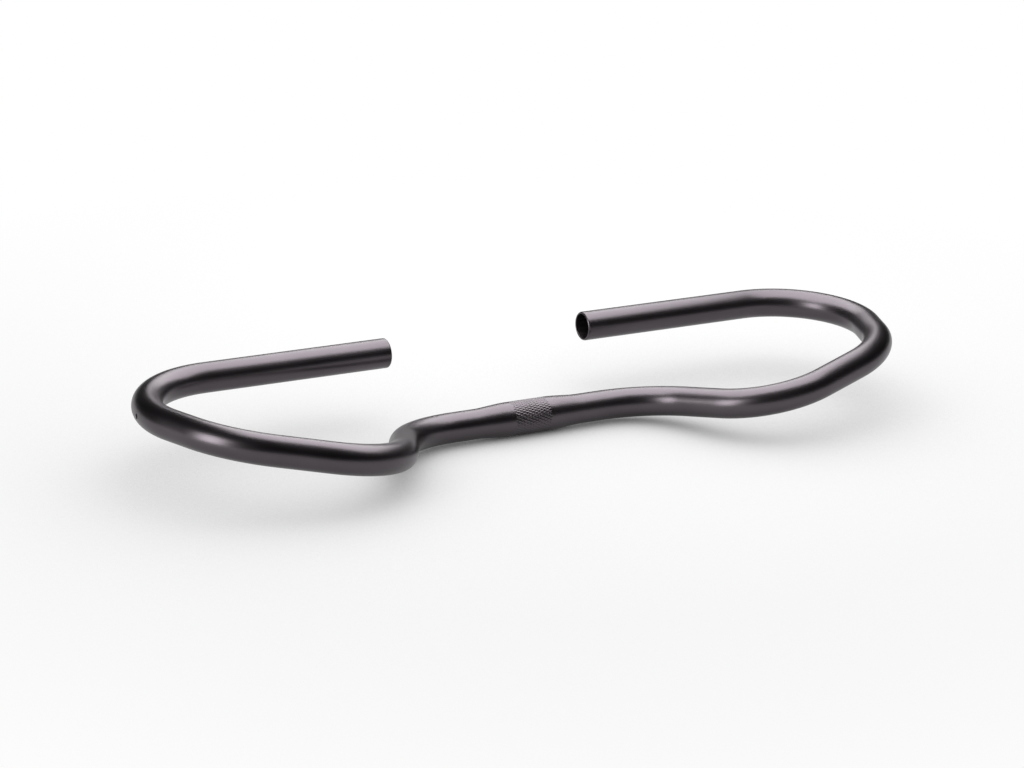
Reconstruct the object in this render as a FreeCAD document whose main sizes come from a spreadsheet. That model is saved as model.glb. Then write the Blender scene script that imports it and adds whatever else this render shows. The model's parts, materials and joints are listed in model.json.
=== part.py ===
import FreeCAD, Part
import math
import os
import Sketcher

# Trekking handlebar: one aluminium tube, widened in the middle where the stem clamps it, with its
# two arms bent into open loops. The ends of the loops are the grips, which point at each other.
# The origin is the middle of the clamp section. X runs along the clamp section, the arms sweep out
# to the front at -Y, the grips lie at the back at +Y, and +Z is up. The loops and grips are level.

# Driving dimensions: alias, value and what it measures, in millimetres and degrees
DIMENSIONS = (
    ("grip_diameter", 22.2, "outside of the tube, where grips and levers fit"),
    ("clamp_diameter", 25.4, "outside of the bulge that the stem clamps"),
    ("wall", 1.6, "wall of the tube and of the bulge"),
    ("clamp_length", 40.0, "cylindrical stretch of the bulge"),
    ("taper_length", 20.0, "from the bulge down to the tube, on each side"),
    ("middle_straight", 122.0, "straight middle of the bar, between its first bends"),
    ("bend_radius", 63.5, "every bend, at the middle of the tube"),
    ("arm_straight", 30.0, "run from the first bend to the second"),
    ("arm_sweep", 61.5, "how far the arm turns forwards from the clamp's line"),
    ("arm_climb", 9.0, "how steeply the arm rises"),
    ("front_straight", 38.0, "run from the second bend to the third"),
    ("front_sweep", 14.0, "how far the front run turns backwards from the clamp's line"),
    ("front_climb", 10.5, "how steeply the front run rises"),
    ("side_straight", 22.5, "level run from the third bend to the last"),
    ("side_sweep", 70.0, "how far the side run turns backwards from the clamp's line"),
    ("grip_straight", 145.0, "level grip, parallel to the clamp, from the last bend to the end"),
    ("end_chamfer", 0.8, "chamfer of each end's outer edge"),
    ("mouth_chamfer", 0.4, "chamfer of each end's inner edge"),
    ("vent_diameter", 3.5, "vent hole through the outer wall of each loop"),
    ("vent_sink", 0.4, "depth of the vent hole's countersink"),
    ("vent_setback", 4.0, "vent hole behind the loop's outermost point, along the tube"),
)

# The right arm, towards +X, and the left one
SIDES = (1, -1)

# Numbers that a sketch gives to its origin and vertical axis, and to the points of a curve
ORIGIN, VERTICAL_AXIS = -1, -2
START, END, CENTRE = 1, 2, 3

# Edges this close to where they should be are the right ones
NEAR = 0.001


def dimension_sheet(doc):
    """The driving dimensions in a spreadsheet, one aliased cell each."""
    sheet = doc.addObject("Spreadsheet::Sheet", "dims")
    for row, (alias, value, meaning) in enumerate(DIMENSIONS, start=1):
        sheet.set(f"A{row}", alias)
        sheet.set(f"B{row}", str(value))
        sheet.setAlias(f"B{row}", alias)
        sheet.set(f"C{row}", meaning)
    doc.recompute()
    return sheet


def run_direction(side, sweep, climb):
    """Unit vector that turns from the clamp's line towards +Y by sweep and rises by climb, in degrees.

    side is 1 for the right arm, which leaves the clamp along +X, and -1 for the left one.
    """
    turn = math.radians(sweep)
    rise = math.radians(climb)
    level = math.cos(rise)
    return FreeCAD.Vector(side * level * math.cos(turn), level * math.sin(turn), math.sin(rise))


def bend(start, inward, outward, radius):
    """The arc that leaves start along inward and ends along outward, its end and its centre."""
    angle = inward.getAngle(outward)
    across = (outward - inward * math.cos(angle)).normalize()
    centre = start + across * radius

    def on_arc(turned):
        return centre - across * radius * math.cos(turned) + inward * radius * math.sin(turned)

    end = on_arc(angle)
    return Part.Arc(start, on_arc(angle / 2), end).toShape(), end, centre


def arm_path(sheet, side):
    """An arm's centre line from the end of the taper, its end point and its last bend's centre."""
    start_x = sheet.clamp_length / 2 + sheet.taper_length
    runs = (
        (sheet.middle_straight / 2 - start_x, run_direction(side, 0, 0)),
        (sheet.arm_straight, run_direction(side, -sheet.arm_sweep, sheet.arm_climb)),
        (sheet.front_straight, run_direction(side, sheet.front_sweep, sheet.front_climb)),
        (sheet.side_straight, run_direction(side, sheet.side_sweep, 0)),
        (sheet.grip_straight, run_direction(side, 180, 0)),
    )
    point = FreeCAD.Vector(side * start_x, 0, 0)
    heading = None
    edges = []
    for length, direction in runs:
        if heading is not None:
            arc, point, centre = bend(point, heading, direction, sheet.bend_radius)
            edges.append(arc)
        run_end = point + direction * length
        edges.append(Part.LineSegment(point, run_end).toShape())
        point = run_end
        heading = direction
    return Part.Wire(edges), point, centre


def sketch_on(body, name, role):
    """An empty sketch on one of the body's origin planes."""
    sketch = body.newObject("Sketcher::SketchObject", name)
    plane = next(feature for feature in body.Origin.OriginFeatures if feature.Role == role)
    sketch.AttachmentSupport = [(plane, "")]
    sketch.MapMode = "FlatFace"
    return sketch


def relate(sketch, kind, *where):
    """A constraint between points of the sketch that has no size."""
    sketch.addConstraint(Sketcher.Constraint(kind, *where))


def size(sketch, name, expression, kind, *where):
    """A named dimension of the sketch, bound to the sheet."""
    index = sketch.addConstraint(Sketcher.Constraint(kind, *where))
    sketch.renameConstraint(index, name)
    sketch.setExpression(f".Constraints.{name}", expression)


def clamp_section(body, sheet):
    """The straight bulge and its two tapers, their wall turned about the clamp's line."""
    sketch = sketch_on(body, "clamp_wall", "XZ_Plane")
    wall = sheet.wall
    clamp_x = sheet.clamp_length / 2
    taper_x = clamp_x + sheet.taper_length
    clamp_z = sheet.clamp_diameter / 2
    tube_z = sheet.grip_diameter / 2

    # Outside from left to right, then the inside from right to left
    outside = [(-taper_x, tube_z), (-clamp_x, clamp_z), (clamp_x, clamp_z), (taper_x, tube_z)]
    inside = [(x, z - wall) for x, z in reversed(outside)]
    corners = [FreeCAD.Vector(x, z, 0) for x, z in outside + inside]
    lines = [
        sketch.addGeometry(Part.LineSegment(start, end))
        for start, end in zip(corners, corners[1:] + corners[:1])
    ]
    for line, following in zip(lines, lines[1:] + lines[:1]):
        relate(sketch, "Coincident", line, END, following, START)

    # Each line is named by the corner that it starts from
    left_foot, left_shoulder, shoulder, foot = lines[:4]
    inner_foot, inner_shoulder, left_inner_shoulder, left_inner_foot = lines[4:]
    for left, right in (
        (left_foot, foot),
        (left_shoulder, shoulder),
        (left_inner_shoulder, inner_shoulder),
        (left_inner_foot, inner_foot),
    ):
        relate(sketch, "Symmetric", left, START, right, START, VERTICAL_AXIS)
    relate(sketch, "Vertical", inner_foot, START, foot, START)
    relate(sketch, "Vertical", inner_shoulder, START, shoulder, START)

    size(sketch, "clamp_length", "dims.clamp_length",
         "DistanceX", left_shoulder, START, shoulder, START, sheet.clamp_length)
    size(sketch, "taper_length", "dims.taper_length",
         "DistanceX", shoulder, START, foot, START, sheet.taper_length)
    size(sketch, "clamp_radius", "dims.clamp_diameter / 2",
         "DistanceY", ORIGIN, START, shoulder, START, clamp_z)
    size(sketch, "tube_radius", "dims.grip_diameter / 2",
         "DistanceY", ORIGIN, START, foot, START, tube_z)
    size(sketch, "clamp_wall", "dims.wall",
         "DistanceY", inner_shoulder, START, shoulder, START, wall)
    size(sketch, "tube_wall", "dims.wall", "DistanceY", inner_foot, START, foot, START, wall)

    clamp = body.newObject("PartDesign::Revolution", "clamp")
    clamp.Profile = sketch
    clamp.ReferenceAxis = (sketch, ["H_Axis"])
    clamp.Angle = 360


def bent_arm(body, sheet, spine, side):
    """An arm: the tube's ring swept along the arm's path."""
    ring = sketch_on(body, "tube_ring", "YZ_Plane")
    ring.setExpression("AttachmentOffset.Base.z", f"{side} * (dims.clamp_length / 2 + dims.taper_length)")
    for name, radius, expression in (
        ("outside", sheet.grip_diameter / 2, "dims.grip_diameter / 2"),
        ("inside", sheet.grip_diameter / 2 - sheet.wall, "dims.grip_diameter / 2 - dims.wall"),
    ):
        circle = ring.addGeometry(Part.Circle(FreeCAD.Vector(), FreeCAD.Vector(0, 0, 1), radius))
        relate(ring, "Coincident", circle, CENTRE, ORIGIN, START)
        size(ring, name, expression, "Radius", circle, radius)
    arm = body.newObject("PartDesign::AdditivePipe", "arm")
    arm.Profile = ring
    arm.Spine = (spine, [f"Edge{number + 1}" for number in range(len(spine.Shape.Edges))])


def vent_hole(body, sheet, bend_centre, side):
    """A countersunk hole through the outer wall of the last bend, near the loop's outermost point."""
    turned = sheet.vent_setback / sheet.bend_radius
    outward = FreeCAD.Vector(side * math.cos(turned), math.sin(turned), 0)
    tube_middle = bend_centre + outward * sheet.bend_radius
    sink_bottom = tube_middle + outward * (sheet.grip_diameter / 2 - sheet.vent_sink)
    facing = FreeCAD.Rotation(FreeCAD.Vector(0, 0, 1), outward)

    hole = body.newObject("PartDesign::SubtractiveCylinder", "vent")
    hole.Placement = FreeCAD.Placement(tube_middle, facing)
    hole.setExpression("Radius", "dims.vent_diameter / 2")
    hole.setExpression("Height", "dims.grip_diameter / 2 + dims.wall")

    sink = body.newObject("PartDesign::SubtractiveCone", "vent_countersink")
    sink.Placement = FreeCAD.Placement(sink_bottom, facing)
    sink.setExpression("Radius1", "dims.vent_diameter / 2")
    sink.setExpression("Radius2", "dims.vent_diameter / 2 + 2 * dims.vent_sink")
    sink.setExpression("Height", "2 * dims.vent_sink")


def end_edges(shape, ends, radius):
    """Names of the circular edges of this radius round the ends of the bar."""

    def is_end_edge(edge):
        if not isinstance(edge.Curve, Part.Circle) or abs(edge.Curve.Radius - radius) > NEAR:
            return False
        return min(edge.Curve.Center.distanceToPoint(end) for end in ends) < NEAR

    return [f"Edge{number}" for number, edge in enumerate(shape.Edges, start=1) if is_end_edge(edge)]


def handlebar(doc, sheet):
    """The whole bar: the clamp section, an arm with its vent on each side, and finished ends."""
    body = doc.addObject("PartDesign::Body", "handlebar")
    clamp_section(body, sheet)
    ends = []
    for side in SIDES:
        spine = doc.addObject("Part::Feature", "arm_path")
        spine.Shape, end, last_bend_centre = arm_path(sheet, side)
        bent_arm(body, sheet, spine, side)
        vent_hole(body, sheet, last_bend_centre, side)
        ends.append(end)
    doc.recompute()

    tube_radius = sheet.grip_diameter / 2
    for name, radius, alias in (
        ("outer_edges", tube_radius, "end_chamfer"),
        ("mouths", tube_radius - sheet.wall, "mouth_chamfer"),
    ):
        tube = body.Tip
        chamfer = body.newObject("PartDesign::Chamfer", name)
        chamfer.Base = (tube, end_edges(tube.Shape, ends, radius))
        chamfer.setExpression("Size", f"dims.{alias}")
        doc.recompute()
    return body


def main():
    doc = FreeCAD.newDocument("trekking_handlebar")
    sheet = dimension_sheet(doc)
    bar = handlebar(doc, sheet)

    for item in doc.Objects:
        if "Invalid" in item.State or "Error" in item.State:
            raise RuntimeError(f"{item.Label} failed: {item.State}")
    if bar.Shape.isNull() or not bar.Shape.isValid() or len(bar.Shape.Solids) != 1:
        raise RuntimeError(f"{bar.Label} isn't one valid solid")

    os.makedirs("parts", exist_ok=True)
    bar.Shape.exportStep(f"parts/{bar.Label}.step")
    box = bar.Shape.BoundBox
    print(f"{bar.Label}: {box.XLength:.1f} x {box.YLength:.1f} x {box.ZLength:.1f} mm, "
          f"{bar.Shape.Volume / 1000:.1f} cm3")


main()
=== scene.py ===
import json
import math

import bpy
import numpy as np
from mathutils import Matrix, Vector


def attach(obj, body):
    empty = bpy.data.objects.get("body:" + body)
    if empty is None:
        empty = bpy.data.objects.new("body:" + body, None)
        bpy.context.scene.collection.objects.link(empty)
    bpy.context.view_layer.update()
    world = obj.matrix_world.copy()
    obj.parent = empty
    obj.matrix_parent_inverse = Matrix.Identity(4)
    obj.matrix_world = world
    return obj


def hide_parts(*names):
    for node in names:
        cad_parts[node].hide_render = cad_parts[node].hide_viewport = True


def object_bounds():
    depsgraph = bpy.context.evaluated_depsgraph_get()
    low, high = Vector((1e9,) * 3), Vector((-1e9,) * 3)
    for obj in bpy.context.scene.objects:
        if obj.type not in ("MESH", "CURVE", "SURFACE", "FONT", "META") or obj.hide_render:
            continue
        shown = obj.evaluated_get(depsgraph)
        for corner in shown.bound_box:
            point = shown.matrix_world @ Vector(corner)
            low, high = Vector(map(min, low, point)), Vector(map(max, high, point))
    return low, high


# Trekking handlebar: one black anodised aluminium tube with a knurled clamp section, bent into two open
# loops. The tube is meshed finely along the same bends as the solid, and stands for it.

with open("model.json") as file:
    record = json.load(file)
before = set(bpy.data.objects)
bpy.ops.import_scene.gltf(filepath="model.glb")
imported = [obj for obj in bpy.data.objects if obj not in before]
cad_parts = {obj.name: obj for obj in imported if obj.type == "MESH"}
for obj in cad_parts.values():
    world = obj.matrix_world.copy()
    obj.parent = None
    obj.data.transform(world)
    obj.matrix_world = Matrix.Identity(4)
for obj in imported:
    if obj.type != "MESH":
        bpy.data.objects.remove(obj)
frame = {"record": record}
CAD_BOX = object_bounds()

MM = 0.001
MOUNTS = {mount["name"]: mount for mount in frame["record"]["mounts"]}

# Sizes that the frame's mounts give
CLAMP_RADIUS = MOUNTS["stem_clamp"]["dims"]["r_mm"] * MM
CLAMP_LENGTH = MOUNTS["stem_clamp"]["dims"]["length_mm"] * MM
TUBE_RADIUS = MOUNTS["right_grip"]["dims"]["r_mm"] * MM
WALL = TUBE_RADIUS - MOUNTS["right_end_bore"]["dims"]["r_mm"] * MM

# Bends of an arm: the runs from the middle of the bar to its end, and the radius of the bends between them
BEND_RADIUS = 63.5 * MM
RUNS = (
    # length, sweep from the clamp's line towards +Y and climb, in degrees
    (61.0 * MM, 0.0, 0.0),
    (30.0 * MM, -61.5, 9.0),
    (38.0 * MM, 14.0, 10.5),
    (22.5 * MM, 70.0, 0.0),
    (145.0 * MM, 180.0, 0.0),
)

# The taper from the clamp section to the tube, and how far its two corners are rounded off along the bar
TAPER_LENGTH = 20.0 * MM
TAPER_SOFTNESS = 8.0 * MM
TAPER_SAMPLES = 41

# The ends: chamfers of the outer edge and of the mouth, the rounding of their corners, which takes up no
# more than a share of a side, and how far in from the end the rim's outline starts
END_CHAMFER = 0.8 * MM
MOUTH_CHAMFER = 0.4 * MM
CORNER_ROUNDING = 0.8 * MM
CORNER_SHARE = 0.45
RIM_DEPTH = 2.4 * MM
CORNER_STEPS = 4

# The vent hole in the outer wall of each loop, its countersink, and its place behind the outermost point
VENT_RADIUS = 1.75 * MM
VENT_SINK = 0.4 * MM
VENT_SETBACK = 4.0 * MM

# The knurled band in the middle: grooves that cross at two slants, cut below the clamp's surface, and the
# share of a pitch that is left as land between them. Seen from the front, the grooves that fall to the right
# are the wider ones. The relief fades out over a short stretch at the band's edges
KNURL_LENGTH = 30.0 * MM
KNURL_STARTS = 36
KNURL_LEAD = 4.8 * MM
KNURL_DEPTH = 0.24 * MM
FALLING_LAND = 0.3
RISING_LAND = 0.62
KNURL_FADE = 0.6 * MM

# Order of the tube's finishes
OUTSIDE, BORE = 0, 1

# Mesh density: points round a ring, and the distance between rings
RING_POINTS = 90
BORE_POINTS = 45
STEPS_PER_PITCH = 10
KNURL_POINTS = KNURL_STARTS * STEPS_PER_PITCH
KNURL_STEP = KNURL_LEAD / STEPS_PER_PITCH
RUN_STEP = 5.0 * MM
BEND_STEP = 2.5 * MM
TAPER_STEP = 1.0 * MM
VENT_POINTS = 48
SHARP_ANGLE = math.radians(35)

# Finishes: the two ends of a finish's range of tones and of roughness, and its bump
OUTSIDE_TONES = ((0.087, 0.077, 0.0845), (0.097, 0.086, 0.0945))
OUTSIDE_ROUGHNESS = (0.33, 0.36)
CLOUDS_PER_METRE = 28
GRAINS_PER_METRE = 1600
GRAIN_STRENGTH = 0.1
BORE_TONES = ((0.05, 0.045, 0.049), (0.09, 0.081, 0.087))
BORE_ROUGHNESS = (0.45, 0.6)
LINES_PER_METRE = (25, 900, 900)
LINE_STRENGTH = 0.3
BUMP_HEIGHT = 0.03 * MM
NOISE_MIDDLE = (0.3, 0.7)

# The studio: a softbox level above the bar, one far to the left, and dark surroundings
OVERHEAD_PLACE = Vector((0.242, 0.368, 0.498))
OVERHEAD_TURN = math.radians(-19)
OVERHEAD_SIZE = (0.69, 1.10)
OVERHEAD_RADIANCE = 5.0
SIDE_PLACE = Vector((-2.095, -0.46, 0.627))
SIDE_SIZE = (1.0, 1.6)
SIDE_RADIANCE = 8.0
SURROUNDINGS = (0.026, 0.026, 0.026, 1)

# The floor just under the bar: its colour, and how white it is seen to be near the bar and further out
FLOOR_REACH = 8.0
FLOOR_GAP = 0.5 * MM
FLOOR_COLOUR = (0.5, 0.5, 0.5, 1)
FLOOR_ROUGHNESS = 0.9
NEAR, NEAR_WHITENESS = 0.35, 0.86
FAR, FAR_WHITENESS = 0.75, 1.0
# Painted shadow: how far ambient occlusion looks to darken the floor's white glow near the bar, and its
# samples
SHADOW_REACH = 0.5
SHADOW_SAMPLES = 8

# The photograph's camera
IMAGE_WIDTH = 1024
FOCAL_PIXELS = 2904.7
SENSOR_WIDTH = 36.0
CAMERA_PLACE = Vector((-0.9905, -1.7610, 0.7003))
CAMERA_RIGHT = Vector((0.87862, -0.47665, 0.02885))
CAMERA_UP = Vector((0.12723, 0.29189, 0.94795))


def run_direction(sweep, climb):
    """Unit vector that turns from +X towards +Y by sweep and rises by climb, in degrees."""
    turn = math.radians(sweep)
    rise = math.radians(climb)
    return Vector((math.cos(rise) * math.cos(turn), math.cos(rise) * math.sin(turn), math.sin(rise)))


def arm_stations():
    """Stations along the right arm from the middle of the bar: distance, point and frame.

    A frame's columns are the direction of the tube and two directions across it. The last item is the
    centre of the last bend.
    """
    stations = []
    point = Vector()
    axes = Matrix.Identity(3)
    heading = None
    centre = None
    gone = 0.0
    for length, sweep, climb in RUNS:
        direction = run_direction(sweep, climb)
        if heading is not None:
            axis = heading.cross(direction).normalized()
            angle = heading.angle(direction)
            centre = point + axis.cross(heading) * BEND_RADIUS
            arm = point - centre
            steps = math.ceil(angle * BEND_RADIUS / BEND_STEP)
            for step in range(1, steps):
                turned = angle * step / steps
                turn = Matrix.Rotation(turned, 3, axis)
                stations.append((gone + turned * BEND_RADIUS, centre + turn @ arm, turn @ axes))
            turn = Matrix.Rotation(angle, 3, axis)
            point = centre + turn @ arm
            axes = turn @ axes
            gone += angle * BEND_RADIUS
        steps = math.ceil(length / (TAPER_STEP if heading is None else RUN_STEP))
        for step in range(steps + 1):
            along = length * step / steps
            stations.append((gone + along, point + direction * along, axes.copy()))
        point = point + direction * length
        gone += length
        heading = direction
    return stations, centre


def outer_radius(distance):
    """Radius of the tube at a distance from the middle, with the taper's corners rounded off."""
    taper_end = CLAMP_LENGTH / 2 + TAPER_LENGTH
    nearby = distance + np.linspace(-0.5, 0.5, TAPER_SAMPLES) * TAPER_SOFTNESS
    share = np.clip((taper_end - nearby) / TAPER_LENGTH, 0, 1).mean()
    return TUBE_RADIUS + (CLAMP_RADIUS - TUBE_RADIUS) * share


def ring(point, axes, radii):
    """Points round the tube at a station, at even angles, one for each radius."""
    angles = np.arange(len(radii)) * (2 * math.pi / len(radii))
    across = np.array(axes.col[1])
    up = np.array(axes.col[2])
    spokes = np.outer(np.cos(angles), across) + np.outer(np.sin(angles), up)
    return np.array(point) + spokes * np.asarray(radii)[:, None]


def plain_ring(point, axes, radius, points):
    """Points round the tube at a station, all at one radius."""
    return ring(point, axes, np.full(points, radius))


def softened(corners):
    """The corners of an end's outline, each replaced by a small curve."""
    outline = [corners[0]]
    for before, corner, after in zip(corners, corners[1:], corners[2:]):
        sides = (before - corner, after - corner)
        to_before, to_after = (
            side.normalized() * min(CORNER_ROUNDING, side.length * CORNER_SHARE) for side in sides
        )
        for step in range(CORNER_STEPS + 1):
            gone = step / CORNER_STEPS
            outline.append(corner + to_before * (1 - gone) ** 2 + to_after * gone ** 2)
    return outline + [corners[-1]]


def end_rings(point, axes):
    """Rings over the rim of an end, from the outer wall to the bore."""
    bore_radius = TUBE_RADIUS - WALL
    # Depth from the end, and radius
    outline = softened([
        Vector((RIM_DEPTH, TUBE_RADIUS)),
        Vector((END_CHAMFER, TUBE_RADIUS)),
        Vector((0, TUBE_RADIUS - END_CHAMFER)),
        Vector((0, bore_radius + MOUTH_CHAMFER)),
        Vector((MOUTH_CHAMFER, bore_radius)),
        Vector((RIM_DEPTH, bore_radius)),
    ])
    inward = -axes.col[0]
    return [plain_ring(point + inward * depth, axes, radius, RING_POINTS) for depth, radius in outline]


def groove(pitches, land):
    """Depth of a set of grooves: 1 at the bottom of each, once a pitch, and 0 on the land between them."""
    from_land = np.abs(2 * (pitches % 1) - 1)
    return np.clip((from_land - land) / (1 - land), 0, 1)


def knurl_radii(x):
    """Radii round the knurled band at a place along it, with the grooves faded out at the band's edges."""
    turns = np.arange(KNURL_POINTS) / STEPS_PER_PITCH
    pitches = x / KNURL_LEAD
    falling = groove(turns - pitches, FALLING_LAND)
    rising = groove(turns + pitches, RISING_LAND)
    fade = min(1.0, (KNURL_LENGTH / 2 - abs(x)) / KNURL_FADE)
    return CLAMP_RADIUS - fade * KNURL_DEPTH * np.maximum(falling, rising)


def knurl_rings():
    """Rings over the knurled band, from left to right, closely spaced."""
    steps = round(KNURL_LENGTH / KNURL_STEP)
    places = np.linspace(-KNURL_LENGTH / 2, KNURL_LENGTH / 2, steps + 1)
    return [ring(Vector((x, 0, 0)), Matrix.Identity(3), knurl_radii(x)) for x in places]


def mirrored(rings):
    """The same rings on the other arm, in the other order."""
    return [points * (-1, 1, 1) for points in reversed(rings)]


def quad(a, b, c, d):
    """The four corners as one face."""
    return [(a, b, c, d)]


def bridge(faces, first, second, split):
    """Adds faces between two rings of vertex numbers, with four corners made into faces by split.

    A ring may have a whole multiple of the other's points.
    """
    if len(first) == len(second):
        for a, b, c, d in zip(first, np.roll(first, -1), np.roll(second, -1), second):
            faces += split(a, b, c, d)
        return
    coarse, fine = sorted((first, second), key=len)
    times = len(fine) // len(coarse)
    half = times // 2
    flip = coarse is second
    for number, near in enumerate(coarse):
        far = coarse[(number + 1) % len(coarse)]
        edge = [fine[(number * times + step) % len(fine)] for step in range(times + 1)]
        fan = [(near, edge[step + 1], edge[step]) for step in range(half)]
        fan.append((near, far, edge[half]))
        fan += [(far, edge[step + 1], edge[step]) for step in range(half, times)]
        faces += [face[::-1] for face in fan] if flip else fan


def closed_tube(rings, split_range, finish_of):
    """A closed mesh through a loop of rings, with a finish for each gap between two rings.

    In split_range the quads are cut along their shorter diagonal.
    """
    points = np.concatenate(rings)
    starts = np.cumsum([0] + [len(points_of_ring) for points_of_ring in rings])
    numbers = [np.arange(start, end) for start, end in zip(starts, starts[1:])]

    def two_triangles(a, b, c, d):
        if np.linalg.norm(points[a] - points[c]) < np.linalg.norm(points[b] - points[d]):
            return [(a, b, c), (a, c, d)]
        return [(a, b, d), (b, c, d)]

    faces = []
    finishes = []
    for place, first in enumerate(numbers):
        second = numbers[(place + 1) % len(numbers)]
        bridge(faces, first, second, two_triangles if place in split_range else quad)
        finishes += [finish_of[place]] * (len(faces) - len(finishes))
    return new_mesh("bent_tube", points, faces, finishes)


def new_mesh(name, points, faces, finishes):
    """A mesh with a finish number for each face."""
    mesh = bpy.data.meshes.new(name)
    whole_numbers = [tuple(int(corner) for corner in face) for face in faces]
    mesh.from_pydata([tuple(point) for point in points], [], whole_numbers)
    mesh.polygons.foreach_set("material_index", finishes)
    return mesh


def new_object(name, data):
    """An object in the scene that shows a mesh, a lamp or a camera."""
    thing = bpy.data.objects.new(name, data)
    bpy.context.scene.collection.objects.link(thing)
    return thing


def bent_tube():
    """The whole bar as one closed mesh, before its vent holes are drilled."""
    stations, last_bend_centre = arm_stations()
    rim = end_rings(*stations[-1][1:])
    wall_end = stations[-1][0] - RIM_DEPTH
    body = [station for station in stations if station[0] < wall_end]

    outside = [
        plain_ring(point, axes, outer_radius(distance), RING_POINTS)
        for distance, point, axes in body
        if distance > KNURL_LENGTH / 2 + KNURL_FADE
    ]
    bore = [
        plain_ring(point, axes, outer_radius(distance) - WALL, BORE_POINTS)
        for distance, point, axes in reversed(body)
    ]
    knurl = knurl_rings()
    right = outside + rim
    left = mirrored(right)
    rings = left + knurl + right + bore + mirrored(bore)[1:]
    knurl_places = range(len(left), len(left) + len(knurl) - 1)
    # The last gap of a rim is in the bore
    outside_gaps = len(left + knurl + right) - 3
    finish_of = [BORE] + [OUTSIDE] * outside_gaps
    finish_of += [BORE] * (len(rings) - len(finish_of))
    mesh = closed_tube(rings, knurl_places, finish_of)
    return new_object("bent_tube", mesh), last_bend_centre


def vent_drill(bend_centre, side):
    """A drill with a countersink, turned to the outside of a loop."""
    turned = VENT_SETBACK / BEND_RADIUS
    outward = Vector((side * math.cos(turned), math.sin(turned), 0))
    middle = Vector((side * bend_centre.x, bend_centre.y, bend_centre.z)) + outward * BEND_RADIUS
    across = outward.orthogonal().normalized()
    axes = Matrix((outward, across, outward.cross(across))).transposed()
    # Distance from the middle of the tube, and radius
    outline = (
        (0, VENT_RADIUS),
        (TUBE_RADIUS - VENT_SINK, VENT_RADIUS),
        (TUBE_RADIUS + VENT_SINK, VENT_RADIUS + 2 * VENT_SINK),
    )
    rings = [plain_ring(middle + outward * depth, axes, radius, VENT_POINTS) for depth, radius in outline]
    points = np.concatenate(rings)
    numbers = np.arange(len(points)).reshape(len(rings), VENT_POINTS)
    faces = [tuple(numbers[0][::-1]), tuple(numbers[-1])]
    for first, second in zip(numbers, numbers[1:]):
        bridge(faces, first, second, quad)
    return new_object("vent_drill", new_mesh("vent_drill", points, faces, [BORE] * len(faces)))


def drill_vents(tube, bend_centre):
    """Cuts a vent hole in each loop and keeps the result as the tube's own mesh."""
    drills = [vent_drill(bend_centre, side) for side in (1, -1)]
    for drill in drills:
        cut = tube.modifiers.new("vent", "BOOLEAN")
        cut.operation = "DIFFERENCE"
        cut.solver = "EXACT"
        cut.object = drill
    seen = tube.evaluated_get(bpy.context.evaluated_depsgraph_get())
    mesh = bpy.data.meshes.new_from_object(seen)
    tube.modifiers.clear()
    tube.data = mesh
    for drill in drills:
        bpy.data.objects.remove(drill)


class Finish:
    """A material and the nodes that make it."""

    def __init__(self, name):
        self.material = bpy.data.materials.new(name)
        self.material.use_nodes = True
        self.tree = self.material.node_tree
        self.shader = self.tree.nodes["Principled BSDF"]

    def set(self, node, inputs):
        """Links or sets a node's inputs, by name or number."""
        for key, value in inputs.items():
            if isinstance(value, bpy.types.NodeSocket):
                self.tree.links.new(value, node.inputs[key])
            else:
                node.inputs[key].default_value = value

    def add(self, kind, inputs, output=0, **settings):
        """Adds a node and gives one of its outputs."""
        node = self.tree.nodes.new("ShaderNode" + kind)
        for key, value in settings.items():
            setattr(node, key, value)
        self.set(node, inputs)
        return node.outputs[output]

    def place(self):
        """Place in the part's own frame."""
        return self.add("TexCoord", {}, "Object")

    def noise(self, place, scale, detail):
        """Soft noise, mostly between 0.3 and 0.7."""
        return self.add("TexNoise", {"Vector": place, "Scale": scale, "Detail": detail})

    def spread(self, noise, low, high):
        """The middle of a noise's range, spread between two numbers."""
        start, end = NOISE_MIDDLE
        return self.add("MapRange", {"Value": noise, 1: start, 2: end, 3: low, 4: high})

    def tones(self, noise, dark, light):
        """The middle of a noise's range, spread between two colours."""
        share = self.spread(noise, 0.0, 1.0)
        return self.add("Mix", {"Factor": share, 6: (*dark, 1), 7: (*light, 1)}, 2, data_type="RGBA")

    def bump(self, noise, strength):
        """A normal that follows a noise as a fine relief."""
        return self.add("Bump", {"Height": noise, "Strength": strength, "Distance": BUMP_HEIGHT})


def anodised_outside():
    """Satin black anodising over a finely blasted surface, with the faint clouds of a dye bath."""
    finish = Finish("anodised_outside")
    place = finish.place()
    grain = finish.noise(place, GRAINS_PER_METRE, detail=2)
    clouds = finish.noise(place, CLOUDS_PER_METRE, detail=3)
    finish.set(finish.shader, {
        "Base Color": finish.tones(clouds, *OUTSIDE_TONES),
        "Metallic": 1.0,
        "Roughness": finish.spread(clouds, *OUTSIDE_ROUGHNESS),
        "Normal": finish.bump(grain, GRAIN_STRENGTH),
    })
    return finish.material


def anodised_bore():
    """The same dye on the drawn inner wall, duller and with lines along the tube."""
    finish = Finish("anodised_bore")
    stretched = finish.add("Mapping", {"Vector": finish.place(), "Scale": LINES_PER_METRE})
    lines = finish.noise(stretched, 1.0, detail=2)
    finish.set(finish.shader, {
        "Base Color": finish.tones(lines, *BORE_TONES),
        "Metallic": 1.0,
        "Roughness": finish.spread(lines, *BORE_ROUGHNESS),
        "Normal": finish.bump(lines, LINE_STRENGTH),
    })
    return finish.material


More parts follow.
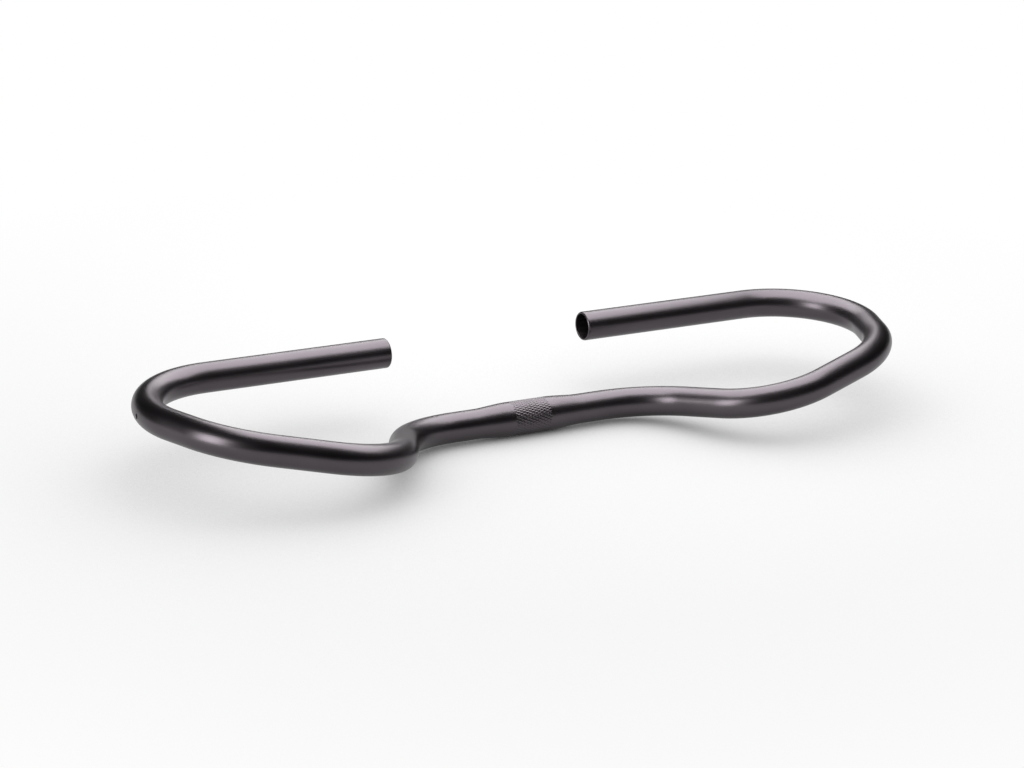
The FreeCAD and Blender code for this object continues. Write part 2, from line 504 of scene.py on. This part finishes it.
def white_floor_and_painted_shadow():
    """A pale floor that the eye and reflections see as nearly white. Its lit share keeps the bar's real cast
    shadow, and its white glow is darkened near the bar by ambient occlusion as a painted shadow.
    """
    finish = Finish("white_floor_and_painted_shadow")
    finish.set(finish.shader, {"Base Color": FLOOR_COLOUR, "Roughness": FLOOR_ROUGHNESS})
    directly = finish.add("LightPath", {}, "Is Camera Ray")
    mirrored_ray = directly.node.outputs["Is Glossy Ray"]
    passed_ray = directly.node.outputs["Is Transmission Ray"]
    indirectly = finish.add("Math", {0: mirrored_ray, 1: passed_ray}, operation="ADD")
    seen = finish.add("Math", {0: directly, 1: indirectly}, operation="ADD", use_clamp=True)
    away = finish.add("VectorMath", {0: finish.place()}, "Value", operation="LENGTH")
    whiteness = finish.add("MapRange", {
        "Value": away, 1: NEAR, 2: FAR, 3: NEAR_WHITENESS, 4: FAR_WHITENESS,
    })
    share = finish.add("Math", {0: seen, 1: whiteness}, operation="MULTIPLY")
    # Painted shadow: ambient occlusion darkens the white glow under and near the bar, for the eye and for
    # the bar's reflections alike
    painted_shadow = finish.add(
        "AmbientOcclusion", {"Distance": SHADOW_REACH}, "AO", samples=SHADOW_SAMPLES,
    )
    white = finish.add("Emission", {"Color": (1, 1, 1, 1), "Strength": painted_shadow})
    mixed = finish.add("MixShader", {"Fac": share, 1: finish.shader.outputs[0], 2: white})
    finish.set(finish.tree.nodes["Material Output"], {"Surface": mixed})
    return finish.material


def floor():
    """A wide level floor just under the clamp section."""
    height = CAD_BOX[0].z - FLOOR_GAP
    corners = [(x * FLOOR_REACH, y * FLOOR_REACH, height) for x, y in ((-1, -1), (1, -1), (1, 1), (-1, 1))]
    mesh = new_mesh("floor", corners, [(0, 1, 2, 3)], [0])
    mesh.materials.append(white_floor_and_painted_shadow())
    new_object("floor", mesh)


def softbox(name, turn, place, size, radiance):
    """A softbox of an even radiance that shines along its own -Z."""
    width, length = size
    lamp = bpy.data.lights.new(name, "AREA")
    lamp.shape = "RECTANGLE"
    lamp.size = width
    lamp.size_y = length
    lamp.energy = radiance * math.pi * width * length
    thing = new_object(name, lamp)
    thing.matrix_world = Matrix.Translation(place) @ turn.to_4x4()
    thing.visible_camera = False


def studio():
    """The two softboxes and the dark surroundings."""
    level = Matrix.Rotation(OVERHEAD_TURN, 3, "Z")
    softbox("overhead", level, OVERHEAD_PLACE, OVERHEAD_SIZE, OVERHEAD_RADIANCE)
    to_bar = SIDE_PLACE.to_track_quat("Z", "Y").to_matrix()
    softbox("side", to_bar, SIDE_PLACE, SIDE_SIZE, SIDE_RADIANCE)
    world = bpy.data.worlds.new("studio")
    world.use_nodes = True
    world.node_tree.nodes["Background"].inputs["Color"].default_value = SURROUNDINGS
    bpy.context.scene.world = world


def photo_camera():
    """The camera that sees the bar as the photograph does."""
    lens = bpy.data.cameras.new("camera")
    lens.sensor_width = SENSOR_WIDTH
    lens.lens = FOCAL_PIXELS * SENSOR_WIDTH / IMAGE_WIDTH
    camera = new_object("camera", lens)
    back = CAMERA_RIGHT.cross(CAMERA_UP)
    turn = Matrix((CAMERA_RIGHT, CAMERA_UP, back)).transposed().to_4x4()
    camera.matrix_world = Matrix.Translation(CAMERA_PLACE) @ turn
    bpy.context.scene.camera = camera


tube, bend_centre = bent_tube()
for finish in (anodised_outside(), anodised_bore()):
    tube.data.materials.append(finish)
drill_vents(tube, bend_centre)
tube.data.polygons.foreach_set("use_smooth", [True] * len(tube.data.polygons))
tube.data.set_sharp_from_angle(angle=SHARP_ANGLE)
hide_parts("handlebar")
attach(tube, "root")
floor()
studio()
photo_camera()
bpy.context.scene.view_settings.view_transform = "Standard"
